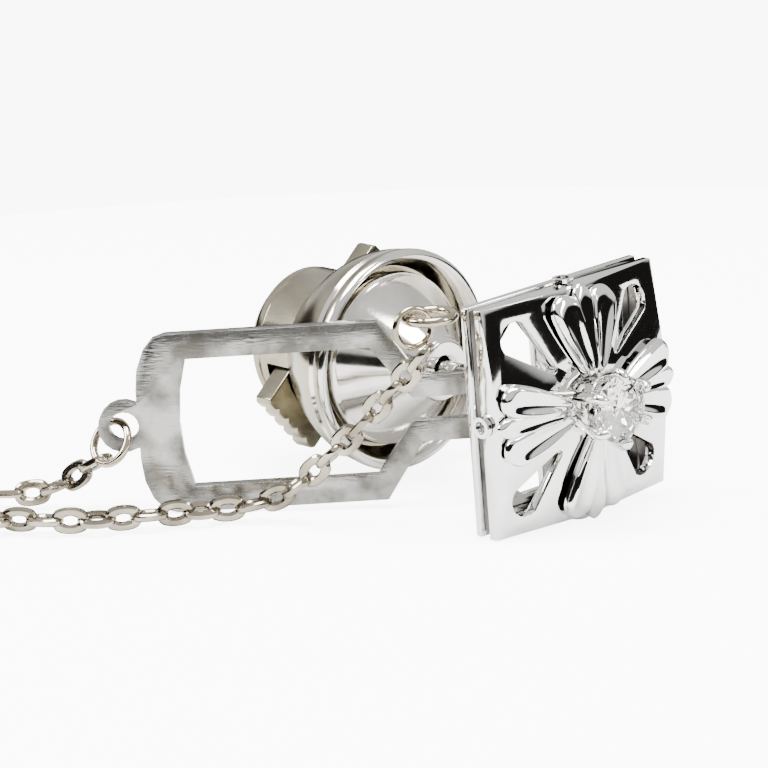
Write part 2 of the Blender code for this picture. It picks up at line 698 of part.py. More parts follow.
def smooth_route(points, step):
    """Evenly spaced points on a smooth curve through the route's points."""
    dense = []
    for i in range(len(points) - 1):
        p0 = points[max(i - 1, 0)]
        p1, p2 = points[i], points[i + 1]
        p3 = points[min(i + 2, len(points) - 1)]
        for s in range(12):
            t = s / 12
            dense.append(0.5 * ((2 * p1) + (p2 - p0) * t + (2 * p0 - 5 * p1 + 4 * p2 - p3) * t * t
                                + (3 * p1 - p0 - 3 * p2 + p3) * t ** 3))
    dense.append(points[-1])
    lengths = [0.0]
    for a, b in zip(dense, dense[1:]):
        lengths.append(lengths[-1] + (b - a).length)
    count = max(2, round(lengths[-1] / step))
    result = []
    k = 0
    for n in range(count + 1):
        want = lengths[-1] * n / count
        while k < len(lengths) - 2 and lengths[k + 1] < want:
            k += 1
        span = lengths[k + 1] - lengths[k]
        result.append(dense[k].lerp(dense[k + 1], min(1.0, (want - lengths[k]) / span)))
    return result


def chain():
    """The chain's plain body: a round rod along its route."""
    points = smooth_route([Vector(p) * MM for p in CHAIN_ROUTE], CHAIN_STEP)
    curve = bpy.data.curves.new("chain", "CURVE")
    curve.dimensions = "3D"
    curve.bevel_depth = CHAIN_D / 2
    curve.bevel_resolution = 2
    curve.use_fill_caps = True
    spline = curve.splines.new("POLY")
    spline.points.add(len(points) - 1)
    for spot, point in zip(spline.points, points):
        spot.co = (*point, 1.0)
    piece = bpy.data.objects.new("chain", curve)
    bpy.context.scene.collection.objects.link(piece)
    material = bpy.data.materials.new("chain")
    material.use_nodes = True
    shader = material.node_tree.nodes["Principled BSDF"]
    shader.inputs["Base Color"].default_value = (0.8, 0.79, 0.76, 1.0)
    shader.inputs["Roughness"].default_value = 0.15
    shader.inputs["Metallic"].default_value = 1.0
    curve.materials.append(material)
    return piece


def build():
    clear_scene()
    front_plate()
    side_wall()
    back_plate()
    for turns, side in enumerate(("right", "top", "left", "bottom")):
        petal_group("petals_" + side, turns)
        side_tube("side_tube_" + side, turns)
    crown_setting()
    diamond()
    post()
    post_foot()
    clutch_shell()
    nose_cone()
    back_cap()
    chuck_sleeve()
    lock_spring()
    release_ring()
    ball_cage()
    for number in range(BALLS):
        lock_ball(number)
    button_plate()
    plate_ring()
    chain_bail()
    upper_ring()
    chain()


build()
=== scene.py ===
"""Tie tack: the finished look of the ornament, clutch, chain and button plate."""
import math

import bmesh
import bpy
from mathutils import Matrix, Vector


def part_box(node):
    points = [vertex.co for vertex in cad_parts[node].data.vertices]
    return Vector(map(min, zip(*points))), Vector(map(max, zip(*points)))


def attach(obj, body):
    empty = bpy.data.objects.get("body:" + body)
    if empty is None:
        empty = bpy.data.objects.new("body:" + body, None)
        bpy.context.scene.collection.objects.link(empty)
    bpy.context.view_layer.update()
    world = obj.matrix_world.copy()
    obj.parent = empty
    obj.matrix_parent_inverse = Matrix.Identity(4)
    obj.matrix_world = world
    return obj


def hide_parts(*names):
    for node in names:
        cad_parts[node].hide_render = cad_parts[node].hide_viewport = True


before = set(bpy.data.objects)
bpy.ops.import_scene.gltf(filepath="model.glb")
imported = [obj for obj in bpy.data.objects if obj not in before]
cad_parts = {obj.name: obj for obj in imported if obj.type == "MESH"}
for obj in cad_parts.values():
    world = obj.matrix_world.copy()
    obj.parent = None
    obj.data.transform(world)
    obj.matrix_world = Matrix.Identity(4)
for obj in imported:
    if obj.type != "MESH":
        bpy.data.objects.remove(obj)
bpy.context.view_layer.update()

MM = 0.001


def middle(node):
    low, high = (Vector(corner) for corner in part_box(node))
    return (low + high) / 2


AXIS = middle("post")
RIM_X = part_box("clutch_shell")[1][0]
HEAD_DEPTH = 1.5 * MM
HEAD_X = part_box("back_plate")[0][0] + HEAD_DEPTH
HALF = 6.0 * MM
DOME = 1.6 * MM
HEAD_TURN = math.radians(3.3)
HEAD = Matrix.Translation((HEAD_X, AXIS.y, AXIS.z)) @ Matrix.Rotation(HEAD_TURN, 4, "X")
STONE_R = (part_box("diamond")[1][1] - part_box("diamond")[0][1]) / 2

# ------------------------------------------------------------------ camera

TURN = math.radians(41.5)
RISE = math.radians(13.8)
ROLL = math.radians(-2.0)
VIEW_WIDE = 40.7 * MM
LENS = 200
LOOK_LEFT = 1.22 * MM
LOOK_DOWN = 1.20 * MM


def place_camera():
    toward = Vector((math.cos(TURN) * math.cos(RISE), -math.sin(TURN) * math.cos(RISE), math.sin(RISE)))
    right = Vector((math.sin(TURN), math.cos(TURN), 0))
    above = toward.cross(right)
    look = Vector((RIM_X, AXIS.y, AXIS.z)) - LOOK_LEFT * right - LOOK_DOWN * above
    data = bpy.data.cameras.new("camera")
    data.lens = LENS
    data.clip_start = 0.005
    data.clip_end = 20
    camera = bpy.data.objects.new("camera", data)
    bpy.context.scene.collection.objects.link(camera)
    away = VIEW_WIDE * LENS / data.sensor_width
    turn = Matrix((right, above, toward)).transposed().to_4x4()
    camera.matrix_world = (Matrix.Translation(look + toward * away) @ turn
                           @ Matrix.Rotation(ROLL, 4, "Z"))
    bpy.context.scene.camera = camera


# ------------------------------------------------------------------ materials

def new_material(name):
    material = bpy.data.materials.new(name)
    material.use_nodes = True
    return material, material.node_tree.nodes, material.node_tree.links


def metal(name, light, dark, rough=0.08, rough_spread=0.06, grain=900.0, bump=0.02, stretch=(1, 1, 1),
          smudge=350.0):
    """A worn, polished metal: smudges in colour and gloss, and a fine grain."""
    material, nodes, links = new_material(name)
    shader = nodes["Principled BSDF"]
    shader.inputs["Metallic"].default_value = 1.0
    place = nodes.new("ShaderNodeTexCoord")
    cloud = nodes.new("ShaderNodeTexNoise")
    cloud.inputs["Scale"].default_value = smudge
    cloud.inputs["Detail"].default_value = 4
    links.new(place.outputs["Object"], cloud.inputs["Vector"])
    tint = nodes.new("ShaderNodeValToRGB")
    tint.color_ramp.elements[0].position = 0.35
    tint.color_ramp.elements[0].color = (*dark, 1)
    tint.color_ramp.elements[1].position = 0.62
    tint.color_ramp.elements[1].color = (*light, 1)
    links.new(cloud.outputs["Fac"], tint.inputs["Fac"])
    links.new(tint.outputs["Color"], shader.inputs["Base Color"])
    gloss = nodes.new("ShaderNodeMapRange")
    gloss.inputs["From Min"].default_value = 0.3
    gloss.inputs["From Max"].default_value = 0.7
    gloss.inputs["To Min"].default_value = rough + rough_spread
    gloss.inputs["To Max"].default_value = rough
    links.new(cloud.outputs["Fac"], gloss.inputs["Value"])
    links.new(gloss.outputs["Result"], shader.inputs["Roughness"])
    mapping = nodes.new("ShaderNodeMapping")
    mapping.inputs["Scale"].default_value = stretch
    links.new(place.outputs["Object"], mapping.inputs["Vector"])
    fine = nodes.new("ShaderNodeTexNoise")
    fine.inputs["Scale"].default_value = grain
    fine.inputs["Detail"].default_value = 3
    links.new(mapping.outputs["Vector"], fine.inputs["Vector"])
    relief = nodes.new("ShaderNodeBump")
    relief.inputs["Strength"].default_value = bump
    relief.inputs["Distance"].default_value = 0.1 * MM
    links.new(fine.outputs["Fac"], relief.inputs["Height"])
    links.new(relief.outputs["Normal"], shader.inputs["Normal"])
    return material


def stone_material():
    material, nodes, links = new_material("clear stone")
    shader = nodes["Principled BSDF"]
    shader.inputs["Roughness"].default_value = 0.0
    shader.inputs["IOR"].default_value = 2.2
    shader.inputs["Transmission Weight"].default_value = 1.0
    place = nodes.new("ShaderNodeTexCoord")
    cloud = nodes.new("ShaderNodeTexNoise")
    cloud.inputs["Scale"].default_value = 600
    links.new(place.outputs["Object"], cloud.inputs["Vector"])
    tint = nodes.new("ShaderNodeValToRGB")
    tint.color_ramp.elements[0].color = (1.0, 0.97, 0.86, 1)
    tint.color_ramp.elements[1].color = (1.0, 0.99, 0.95, 1)
    links.new(cloud.outputs["Fac"], tint.inputs["Fac"])
    links.new(tint.outputs["Color"], shader.inputs["Base Color"])
    return material


WHITE_GOLD = metal("polished white gold", (0.90, 0.895, 0.88), (0.80, 0.79, 0.77), 0.03, 0.05, 2500, 0.012)
# Painted shade: a near-black metal that stands in for the shade in the recess of the head's side wall.
PAINTED_SHADE_RECESS = metal("shaded recess", (0.16, 0.15, 0.14), (0.05, 0.05, 0.05), 0.25, 0.2, 1500, 0.1)
CLUTCH = metal("turned clutch metal", (0.42, 0.385, 0.29), (0.25, 0.225, 0.16), 0.13, 0.10, 1600, 0.04,
               (18, 1, 1))
NOSE = metal("polished nose", (0.84, 0.82, 0.78), (0.62, 0.59, 0.53), 0.06, 0.07, 1500, 0.03, (22, 1, 1))
PLATE = metal("scratched plate", (0.36, 0.355, 0.335), (0.12, 0.115, 0.10), 0.15, 0.2, 1400, 0.14,
              (1, 1, 6), 520)
WIRE = metal("ring wire", (0.48, 0.415, 0.315), (0.28, 0.235, 0.165), 0.08, 0.08, 2500, 0.03)
LINK = metal("chain link", (0.46, 0.415, 0.33), (0.20, 0.175, 0.13), 0.08, 0.1, 2600, 0.04)
STEEL = metal("spring steel", (0.5, 0.5, 0.5), (0.3, 0.3, 0.3), 0.25, 0.1)
BRASS = metal("cage brass", (0.78, 0.62, 0.30), (0.55, 0.42, 0.18), 0.2, 0.1)
STONE = stone_material()


# ------------------------------------------------------------------ making pieces

def done(piece, name, material, body, *nodes, slot=None):
    """Name a finished piece, give it its metal and tell the frame what it rides on and replaces."""
    piece.name = name
    piece.data.name = name
    piece.data.materials.clear()
    piece.data.materials.append(material)
    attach(piece, body)
    if nodes:
        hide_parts(*nodes)
    return piece


def apply_all(piece):
    bpy.context.view_layer.objects.active = piece
    for modifier in list(piece.modifiers):
        bpy.ops.object.modifier_apply(modifier=modifier.name)
    return piece


def join(pieces):
    bpy.ops.object.select_all(action="DESELECT")
    for piece in pieces:
        piece.select_set(True)
    bpy.context.view_layer.objects.active = pieces[0]
    bpy.ops.object.join()
    return bpy.context.view_layer.objects.active


def tidy_normals(piece, angle=35):
    bpy.ops.object.select_all(action="DESELECT")
    piece.select_set(True)
    bpy.context.view_layer.objects.active = piece
    bpy.ops.object.mode_set(mode="EDIT")
    bpy.ops.mesh.select_all(action="SELECT")
    bpy.ops.mesh.remove_doubles(threshold=1e-7)
    bpy.ops.mesh.normals_make_consistent(inside=False)
    bpy.ops.object.mode_set(mode="OBJECT")
    bpy.ops.object.shade_smooth_by_angle(angle=math.radians(angle))
    return piece


def softened(node, width, material, body, slot=None):
    """The CAD piece with its edges eased."""
    source = bpy.data.objects[node]
    piece = bpy.data.objects.new(node + "_eased", source.data.copy())
    bpy.context.scene.collection.objects.link(piece)
    bpy.ops.object.select_all(action="DESELECT")
    piece.select_set(True)
    bpy.context.view_layer.objects.active = piece
    bpy.ops.object.mode_set(mode="EDIT")
    bpy.ops.mesh.select_all(action="SELECT")
    bpy.ops.mesh.remove_doubles(threshold=2e-7)
    bpy.ops.mesh.dissolve_limited(angle_limit=math.radians(1.0))
    bpy.ops.object.mode_set(mode="OBJECT")
    bevel = piece.modifiers.new("ease", "BEVEL")
    bevel.width = width
    bevel.segments = 3
    bevel.limit_method = "ANGLE"
    bevel.angle_limit = math.radians(40)
    apply_all(piece)
    tidy_normals(piece, 40)
    return done(piece, node + "_eased", material, body, node, slot=slot)


def turned(points, steps=96):
    """A closed profile of (x, radius) points spun about the post's axis."""
    mesh = bpy.data.meshes.new("turned")
    corners = [(x, AXIS.y + r, AXIS.z) for x, r in points]
    closed = points[0][1] > 1e-9
    edges = [(i, i + 1) for i in range(len(corners) - 1)]
    if closed:
        edges.append((len(corners) - 1, 0))
    mesh.from_pydata(corners, edges, [])
    piece = bpy.data.objects.new("turned", mesh)
    bpy.context.scene.collection.objects.link(piece)
    bpy.ops.object.select_all(action="DESELECT")
    piece.select_set(True)
    bpy.context.view_layer.objects.active = piece
    bpy.ops.object.mode_set(mode="EDIT")
    bpy.ops.mesh.select_all(action="SELECT")
    bpy.ops.mesh.spin(steps=steps, angle=math.tau, center=(0, AXIS.y, AXIS.z), axis=(1, 0, 0))
    bpy.ops.object.mode_set(mode="OBJECT")
    return tidy_normals(piece, 30)


def rounded(points, radius=0.08 * MM, cuts=3):
    """A profile with its corners rounded by small arcs."""
    result = []
    count = len(points)
    for i, point in enumerate(points):
        here = Vector(point)
        before, after = Vector(points[i - 1]), Vector(points[(i + 1) % count])
        first, second = (before - here), (after - here)
        reach = min(radius, 0.4 * first.length, 0.4 * second.length)
        start = here + first.normalized() * reach
        end = here + second.normalized() * reach
        for k in range(cuts + 1):
            t = k / cuts
            spot = start.lerp(here, t).lerp(here.lerp(end, t), t)
            result.append((spot.x, spot.y))
    return result


# ------------------------------------------------------------------ chain

ROUTE = [
    (6.20, -3.28, 9.63), (5.30, -3.51, 8.60), (4.20, -3.59, 7.50), (2.90, -3.89, 6.27),
    (1.60, -4.29, 4.88), (0.20, -4.69, 3.54), (-1.20, -5.19, 2.25), (-2.60, -5.89, 1.29),
    (-3.70, -6.79, 0.85), (-4.70, -8.19, 0.80), (-6.00, -10.49, 0.80), (-7.30, -12.79, 0.80),
    (-9.00, -14.79, 0.80), (-11.10, -16.29, 0.80), (-12.90, -18.89, 0.80), (-14.50, -21.49, 0.80),
    (-16.90, -23.49, 0.80), (-19.80, -23.29, 0.80), (-21.40, -21.29, 0.80), (-20.80, -18.49, 0.80),
    (-18.70, -16.19, 0.80), (-16.50, -14.59, 0.80), (-14.70, -13.09, 0.85), (-13.80, -12.19, 1.00),
    (-12.75, -11.39, 1.52), (-11.85, -10.99, 2.20), (-11.15, -10.64, 2.65),
]
LINK_LONG = 2.02 * MM
LINK_WIDE = 1.46 * MM
LINK_WIRE = 0.245 * MM
LINK_PITCH = 1.36 * MM


def smooth_route(points, pieces=14):
    dense = []
    for i in range(len(points) - 1):
        p0 = points[max(i - 1, 0)]
        p1, p2 = points[i], points[i + 1]
        p3 = points[min(i + 2, len(points) - 1)]
        for s in range(pieces):
            t = s / pieces
            dense.append(0.5 * ((2 * p1) + (p2 - p0) * t + (2 * p0 - 5 * p1 + 4 * p2 - p3) * t * t
                                + (3 * p1 - p0 - 3 * p2 + p3) * t ** 3))
    dense.append(points[-1])
    return dense


def walk(points, distance):
    """The point at a distance along a line of points."""
    for a, b in zip(points, points[1:]):
        span = (b - a).length
        if distance <= span:
            break
        distance -= span
    return a + (b - a).normalized() * distance


def link_shape():
    """One oval link along X, its wire cut to flat facets."""
    bpy.ops.object.select_all(action="DESELECT")
    bpy.ops.mesh.primitive_torus_add(major_radius=LINK_WIDE / 2 - LINK_WIRE, minor_radius=LINK_WIRE,
                                     major_segments=28, minor_segments=12)
    piece = bpy.context.object
    stretch = (LINK_LONG - LINK_WIDE) / 2
    flat = 0.80 * LINK_WIRE
    for vertex in piece.data.vertices:
        x, y, z = vertex.co
        side = max(-1.0, min(1.0, x / (0.55 * LINK_WIDE / 2)))
        vertex.co.x = x + stretch * side
        vertex.co.z = max(-flat, min(flat, z))
        vertex.co.y = max(-LINK_WIDE * 0.475, min(LINK_WIDE * 0.475, y))
    return piece


def chain():
    points = smooth_route([Vector(p) * MM for p in ROUTE])
    length = sum((b - a).length for a, b in zip(points, points[1:]))
    count = 2 * round(length / LINK_PITCH / 2) + 1
    pitch = (length - 0.1 * MM) / (count - 1)
    pattern = link_shape()
    links = []
    for k in range(count):
        spot = walk(points, 0.05 * MM + pitch * k)
        ahead = walk(points, min(length, 0.05 * MM + pitch * (k + 0.45)))
        behind = walk(points, max(0.0, 0.05 * MM + pitch * (k - 0.45)))
        along = (ahead - behind).normalized()
        side = along.cross(Vector((0, 0, 1))).normalized()
        up = side.cross(along)
        turn = Matrix((along, side, up)).transposed().to_4x4()
        roll = math.radians(8 + 90 * (k % 2) + 10 * math.sin(1.7 * k))
        copy = bpy.data.objects.new("link", pattern.data.copy())
        bpy.context.scene.collection.objects.link(copy)
        copy.data.transform(Matrix.Translation(spot) @ turn @ Matrix.Rotation(roll, 4, "X"))
        links.append(copy)
    bpy.data.objects.remove(pattern)
    piece = tidy_normals(join(links), 32)
    done(piece, "chain_links", LINK, "head", "chain", slot="chain_metal")


# ------------------------------------------------------------------ rings

SEAM_AT = -60
SEAM_HALF = 2.6
SEAM_WAIST = 0.86


def wire_ring(node, body, material, slot):
    """A round wire ring in its CAD place, with the narrow seam where its ends meet."""
    source = bpy.data.objects[node].data
    spots = [vertex.co for vertex in source.vertices]
    centre = sum(spots, Vector()) / len(spots)
    spread = Matrix(((0, 0, 0), (0, 0, 0), (0, 0, 0)))
    for spot in spots:
        d = spot - centre
        for i in range(3):
            for j in range(3):
                spread[i][j] += d[i] * d[j]
    normal = least_direction(spread)
    flats = [abs((spot - centre).dot(normal)) for spot in spots]
    reach = max((spot - centre).length for spot in spots)
    wire = max(flats)
    bpy.ops.object.select_all(action="DESELECT")
    bpy.ops.mesh.primitive_torus_add(major_radius=reach - wire, minor_radius=wire * 0.99,
                                     major_segments=72, minor_segments=16)
    piece = bpy.context.object
    turn = normal.to_track_quat("Z", "Y").to_matrix().to_4x4()
    for vertex in piece.data.vertices:
        angle = math.degrees(math.atan2(vertex.co.y, vertex.co.x))
        if abs(angle - SEAM_AT) < SEAM_HALF:
            out = Vector((vertex.co.x, vertex.co.y, 0)).normalized() * (reach - wire)
            vertex.co = out + (vertex.co - out) * SEAM_WAIST
    piece.data.transform(Matrix.Translation(centre) @ turn)
    piece.location = (0, 0, 0)
    tidy_normals(piece, 60)
    return done(piece, node + "_round", material, body, node, slot=slot)


def least_direction(spread):
    """The direction in which a cloud of points is thinnest, by repeated inverse steps."""
    scale = spread[0][0] + spread[1][1] + spread[2][2]
    inverse = (spread + Matrix.Identity(3) * scale * 1e-4).inverted()
    direction = Vector((0.31, 0.52, 0.79))
    for _ in range(60):
        direction = (inverse @ direction).normalized()
    return direction


# ------------------------------------------------------------------ ornament

STONE_GIRDLE = 0.55 * MM
CLAWS = 6
CLAW_STATIONS = (
    (0.75, 0.85, 0.30), (1.4, 1.08, 0.29), (2.1, 1.42, 0.28), (2.7, 1.72, 0.28), (3.15, 1.87, 0.28),
    (3.45, 1.90, 0.27), (3.66, 1.82, 0.26), (3.77, 1.68, 0.23), (3.81, 1.55, 0.17), (3.815, 1.47, 0.08),
)
RAILS = ((0.55, 1.15, 1.12, 0.35), (1.95, 2.55, 1.60, 0.30))
LOBE_START = 1.5 * MM
LOBE_PAST = 0.27 * MM
LOBE_LIFT = 0.12 * MM
LOBE_INNER_W = 0.42 * MM
LOBE_SPLAY = math.radians(15.0)
LOBE_APART = 0.30 * MM
LOBE_ROUND_FROM = 0.8
LOBE_ROUND_TO = 0.08
LOBE_DISH_W = 0.78
# Side, width, height and dish in millimetres, and share of the length, for each lobe of a group.
LOBES = ((0.0, 1.15, 0.62, 0.30, 1.0), (-1.0, 1.75, 0.85, 0.50, 0.95), (1.0, 1.75, 0.85, 0.50, 0.95))


def brilliant():
    """A round brilliant stone, cut as the hull of its facet corners."""
    base = middle("diamond")
    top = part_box("diamond")[1][0]
    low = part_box("diamond")[0][0]
    girdle = top - STONE_GIRDLE
    bm = bmesh.new()

    def row(count, radius, x, shift=0.0):
        for i in range(count):
            a = math.tau * (i + shift) / count
            bm.verts.new((x, base.y + radius * math.cos(a), base.z + radius * math.sin(a)))

    row(8, 0.55 * STONE_R, top)
    row(8, 0.80 * STONE_R, girdle + 0.37 * MM, 0.5)
    row(16, STONE_R, girdle + 0.03 * MM)
    row(16, STONE_R, girdle - 0.03 * MM)
    row(8, 0.42 * STONE_R, low + 0.62 * MM, 0.5)
    bm.verts.new((low, base.y, base.z))
    bmesh.ops.convex_hull(bm, input=bm.verts)
    mesh = bpy.data.meshes.new("brilliant")
    bm.to_mesh(mesh)
    bm.free()
    piece = bpy.data.objects.new("brilliant", mesh)
    bpy.context.scene.collection.objects.link(piece)
    bpy.ops.object.select_all(action="DESELECT")
    piece.select_set(True)
    bpy.context.view_layer.objects.active = piece
    bpy.ops.object.mode_set(mode="EDIT")
    bpy.ops.mesh.select_all(action="SELECT")
    bpy.ops.mesh.normals_make_consistent(inside=False)
    bpy.ops.object.mode_set(mode="OBJECT")
    return done(piece, "brilliant_stone", STONE, "head", "diamond", slot="stone")


def claw(path):
    """A round tapering claw through (x, distance out, wire radius) stations."""
    bm = bmesh.new()
    rows = []
    sides = 14
    for k, (x, out, wire) in enumerate(path):
        before, after = path[max(k - 1, 0)], path[min(k + 1, len(path) - 1)]
        along = Vector((after[0] - before[0], after[1] - before[1], 0)).normalized()
        across = Vector((-along.y, along.x, 0))
        row = []
        for i in range(sides):
            a = math.tau * i / sides
            spot = Vector((x, out, 0)) + wire * (math.cos(a) * across + math.sin(a) * Vector((0, 0, 1)))
            row.append(bm.verts.new(spot))
        rows.append(row)
    for near, far in zip(rows, rows[1:]):
        for i in range(sides):
            j = (i + 1) % sides
            bm.faces.new((near[i], near[j], far[j], far[i]))
    bm.faces.new(list(reversed(rows[0])))
    bm.faces.new(rows[-1])
    mesh = bpy.data.meshes.new("claw")
    bm.to_mesh(mesh)
    bm.free()
    return mesh


def crown():
    """The stone's seat: two turned rails joined by claws that hook over its edge."""
    path = [(x * MM, out * MM, wire * MM) for x, out, wire in CLAW_STATIONS]
    parts = []
    for k in range(CLAWS):
        mesh = claw(path)
        mesh.transform(HEAD @ Matrix.Rotation(math.radians(30 + 360 * k / CLAWS), 4, "X"))
        piece = bpy.data.objects.new("claw", mesh)
        bpy.context.scene.collection.objects.link(piece)
        parts.append(piece)
    flare = 0.08 * MM
    for low, high, outer, wall in RAILS:
        near, far = HEAD_X + low * MM, HEAD_X + high * MM
        rail = rounded([(near, (outer - wall) * MM), (near, outer * MM - flare),
                        (far, outer * MM + flare), (far, (outer - wall) * MM + 0.1 * MM)], 0.1 * MM, 3)
        parts.append(turned(rail, 72))
    piece = tidy_normals(join(parts), 45)
    return done(piece, "claw_setting", WHITE_GOLD, "head", "crown_setting", slot="polished_white_gold")


def lobe(length, inner_w, outer_w, height, hollow=0.0):
    """A polished lobe along +Y, narrow inside and wide and round outside, with a dished face."""
    bpy.ops.object.select_all(action="DESELECT")
    bpy.ops.mesh.primitive_uv_sphere_add(segments=40, ring_count=48, radius=1)
    piece = bpy.context.object
    for vertex in piece.data.vertices:
        x, y, z = vertex.co
        t = (z + 1) / 2
        ring = math.hypot(x, y)
        taper = inner_w + (outer_w - inner_w) * math.sin(math.pi / 2 * min(1.0, t * 1.15)) ** 1.1
        fill = 1.0
        if t > LOBE_ROUND_FROM:
            past = (t - LOBE_ROUND_FROM) / (1 - LOBE_ROUND_FROM)
            fill = max(0.03, math.sqrt(max(0.0, 1 - past ** 2)))
        elif t < LOBE_ROUND_TO:
            short = (LOBE_ROUND_TO - t) / LOBE_ROUND_TO
            fill = max(0.03, math.sqrt(max(0.0, 1 - short ** 2)))
        ux, uy = (x / ring, y / ring) if ring > 1e-6 else (0.0, 0.0)
        rise = height * (0.75 + 0.25 * math.sin(math.pi * t))
        up = ux * rise * fill
        across = uy * taper / 2 * fill
        if hollow and ux > 0:
            dish = max(0.0, 1 - (2 * across / taper / LOBE_DISH_W) ** 2)
            up -= hollow * fill * dish * math.sin(math.pi * t) ** 0.5
        vertex.co = (max(up, -0.12 * height), t * length, across)
    return piece


def petals():
    """Four groups of three lobes, from the stone's seat to the middle of each side."""
    reach = HALF + LOBE_PAST - LOBE_START
    slope = Matrix.Rotation(math.atan(DOME / (2 * HALF)), 4, "Z")
    seat = Matrix.Translation((DOME * (1 - LOBE_START / (2 * HALF)) + LOBE_LIFT, LOBE_START, 0))
    for turns, side in enumerate(("right", "top", "left", "bottom")):
        parts = []
        for shift, width, height, hollow, share in LOBES:
            part = lobe(reach * share, LOBE_INNER_W, width * MM, height * MM, hollow * MM)
            splay = Matrix.Rotation(LOBE_SPLAY * shift, 4, "X")
            offset = Matrix.Translation((0, 0, shift * LOBE_APART))
            part.data.transform(offset @ splay)
            parts.append(part)
        piece = join(parts)
        turn = Matrix.Rotation(math.radians(90 * turns), 4, "X")
        piece.data.transform(HEAD @ turn @ seat @ slope)
        piece.location = (0, 0, 0)
        tidy_normals(piece, 50)
        done(piece, "lobes_" + side, WHITE_GOLD, "head", "petals_" + side, slot="polished_white_gold")


# ------------------------------------------------------------------ clutch

DRUM_R = 4.0 * MM
DRUM_LONG = 3.3 * MM
RIM_BAND = 0.9 * MM
SHELL_WALL = 0.35 * MM
SLOT_X = -5.8 * MM
SLOT_OUT = 4.5 * MM
SLOT_SIZE = (1.9 * MM, 5 * MM, 4.75 * MM)
SLOT_TURN = 43
NOSE_TIP_R = 1.7 * MM
NOSE_BASE_R = 4.42 * MM
NOSE_CURVE = 1.25
BORE_R = 0.62 * MM
POST_R = 0.495 * MM


def clutch_shell():
    """Drum, flare and rolled rim turned as one shell, with two ear slots and a polished mouth."""
    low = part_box("clutch_shell")[0][0]
    radius = (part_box("clutch_shell")[1][1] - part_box("clutch_shell")[0][1]) / 2
    rim = RIM_X
    drum = DRUM_R
    flare = low - 0.25 * MM + DRUM_LONG
    bell = rim - RIM_BAND - flare
    outer = [(low, drum - 0.3 * MM), (low + 0.06 * MM, drum - 0.12 * MM), (low + 0.2 * MM, drum - 0.02 * MM),
             (low + 0.4 * MM, drum), (low + 0.6 * MM, drum), (low + 0.66 * MM, drum - 0.07 * MM),
             (low + 0.76 * MM, drum - 0.07 * MM), (low + 0.82 * MM, drum)]
    outer += [(flare - 0.2 * MM, drum), (flare, drum)]
    for k in range(1, 16):
        t = k / 16
        outer.append((flare + bell * t, drum + (radius - 0.1 * MM - drum) * math.sin(t * math.pi / 2)))
    for k in range(11):
        a = math.pi * k / 10
        outer.append((rim - RIM_BAND / 2 * (1 + math.cos(a)),
                      radius - 0.32 * MM + 0.32 * MM * math.sin(a) ** 0.8))
    inner = [(rim - 0.1 * MM, 5.5 * MM), (rim - 0.3 * MM, 5.38 * MM), (rim - 1.0 * MM, 5.2 * MM),
             (rim - 1.7 * MM, 4.86 * MM), (rim - 1.8 * MM, drum - SHELL_WALL),
             (low, drum - SHELL_WALL)]
    piece = turned(outer + inner, 128)
    cutters = []
    for k in range(2):
        bpy.ops.object.select_all(action="DESELECT")
        bpy.ops.mesh.primitive_cube_add(size=1)
        cutter = bpy.context.object
        box = Matrix.Translation((rim + SLOT_X, SLOT_OUT, 0)) @ Matrix.Diagonal((*SLOT_SIZE, 1))
        turn = Matrix.Rotation(math.radians(SLOT_TURN + 180 * k), 4, "X")
        cutter.data.transform(Matrix.Translation((0, AXIS.y, AXIS.z)) @ turn @ box)
        cutters.append(cutter)
    cutter = join(cutters)
    cut = piece.modifiers.new("slots", "BOOLEAN")
    cut.operation = "DIFFERENCE"
    cut.solver = "EXACT"
    cut.object = cutter
    apply_all(piece)
    bpy.data.objects.remove(cutter)
    tidy_normals(piece, 30)
    done(piece, "turned_shell", CLUTCH, "clutch", "clutch_shell", slot="clutch_metal")
    piece.data.materials.append(NOSE)
    for face in piece.data.polygons:
        spread = math.hypot(face.center.y - AXIS.y, face.center.z - AXIS.z)
        if face.center.x > rim - 1.75 * MM and face.normal.x > 0.15 and spread > 4.6 * MM:
            face.material_index = 1
    return piece


def nose():
    """The polished trumpet-shaped nose."""
    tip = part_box("nose_cone")[1][0]
    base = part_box("nose_cone")[0][0]
    points = [(base, BORE_R), (base, 4.4 * MM), (base + 0.5 * MM, 4.66 * MM), (base + 0.9 * MM, 4.6 * MM)]
    steps = 26
    for s in range(steps + 1):
        t = s / steps
        x = base + 1.0 * MM + (tip - base - 1.35 * MM) * t
        radius = NOSE_TIP_R + (NOSE_BASE_R - NOSE_TIP_R) * (1 - t) ** NOSE_CURVE
        points.append((x, radius))
    points += [(tip - 0.16 * MM, 1.66 * MM), (tip - 0.02 * MM, 1.5 * MM), (tip - 0.02 * MM, 0.80 * MM),
               (tip - 0.25 * MM, 0.63 * MM)]
    piece = turned(rounded(points, 0.06 * MM, 2), 128)
    return done(piece, "turned_nose", NOSE, "clutch", "nose_cone", slot="nose_metal")


def round_post():
    """The post with its grip grooves, turned smooth."""
    low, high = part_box("post")[0][0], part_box("post")[1][0]
    radius = POST_R
    points = [(low, 0.0), (low + 0.1 * MM, 0.08 * MM), (low + 1.5 * MM, radius)]
    for k in range(3):
        x = low + (2.2 + 1.1 * k) * MM
        points += [(x, radius), (x + 0.12 * MM, radius - 0.08 * MM), (x + 0.38 * MM, radius - 0.08 * MM),
                   (x + 0.5 * MM, radius)]
    points += [(high, radius), (high, 0.0)]
    piece = turned(points, 48)
    return done(piece, "turned_post", WHITE_GOLD, "head", "post", slot="post_metal")


# ------------------------------------------------------------------ stage

FLOOR_R = 0.085
FLOOR_GLOW = 7.0
SKY_GLOW = 9.0


